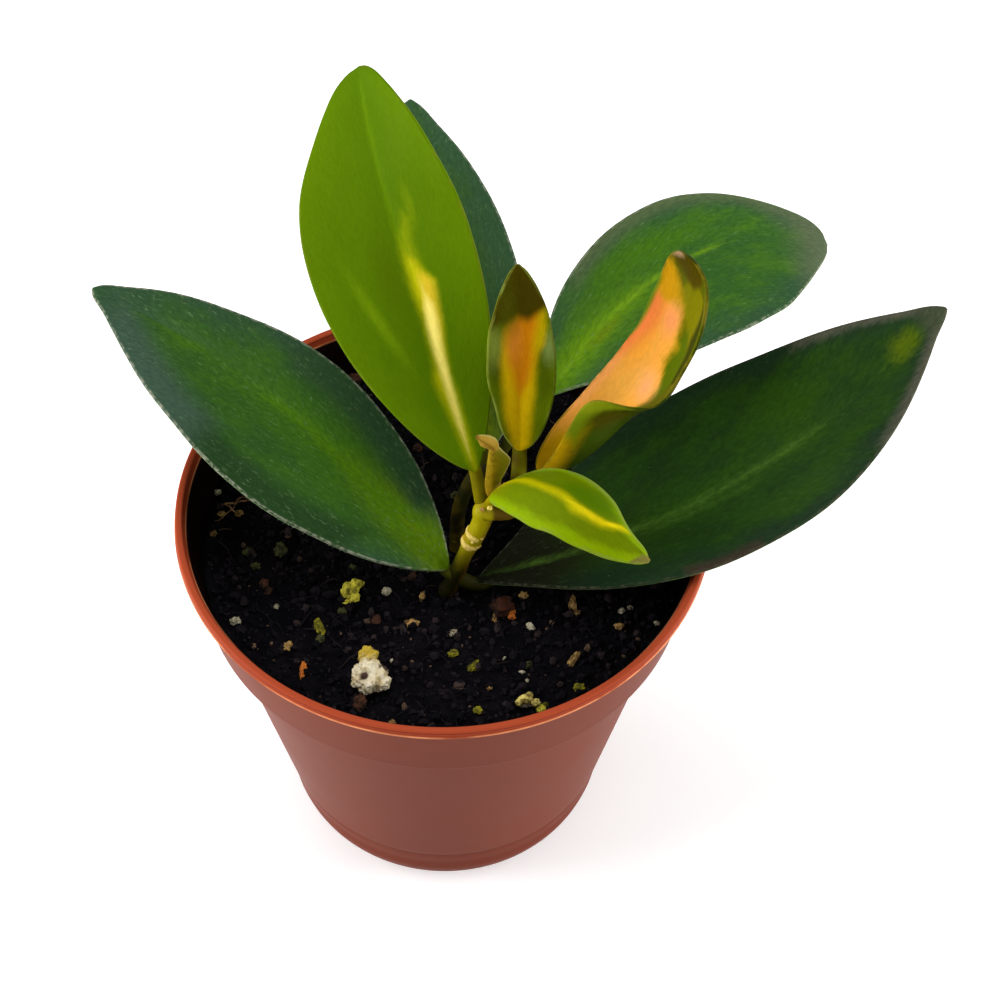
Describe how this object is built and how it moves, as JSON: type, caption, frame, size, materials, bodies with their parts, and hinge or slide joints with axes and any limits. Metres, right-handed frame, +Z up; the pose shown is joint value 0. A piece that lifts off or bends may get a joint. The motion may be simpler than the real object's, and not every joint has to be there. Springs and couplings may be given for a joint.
{
  "type": "potted variegated hoya burtoniae",
  "caption": "Young climbing houseplant with broad pointed leaves, some marbled yellow and peach, rooted in dark potting mix in a round tapered terracotta-coloured nursery pot.",
  "frame": {"origin": "centre of the pot's flat underside, on the surface that it stands on", "axes": "+Z up along the pot's axis; the fullest view of the plant looks along +Y, with +X to its right"},
  "size_m": [0.1219, 0.0872, 0.1144],
  "materials": {
    "pot_plastic": "satin injection-moulded plastic",
    "potting_mix": "loose damp peat and bark",
    "stem_green": "smooth green stem",
    "leaf_dark": "leathery, short pale hairs",
    "leaf_light": "leathery, matte",
    "leaf_young": "soft young leaf, satin",
    "perlite": "rough and porous",
    "moss": "crumbly",
    "bark": "rough"
  },
  "bodies": {
    "root": {"pot": "pot_plastic", "soil": "potting_mix", "main_stem": "stem_green", "back_stem": "stem_green", "leaf_left": "leaf_dark", "leaf_right": "leaf_dark", "leaf_tall": "leaf_light", "leaf_back": "leaf_dark", "leaf_back_right": "leaf_dark", "leaf_young_upright": "leaf_young", "leaf_young_curled": "leaf_young", "leaf_small_front": "leaf_light", "leaf_bud": "leaf_young", "perlite_lump": "perlite", "moss_crumb": "moss", "bark_chunk": "bark", "husk_crumb": "moss"}
  },
  "joints": []
}
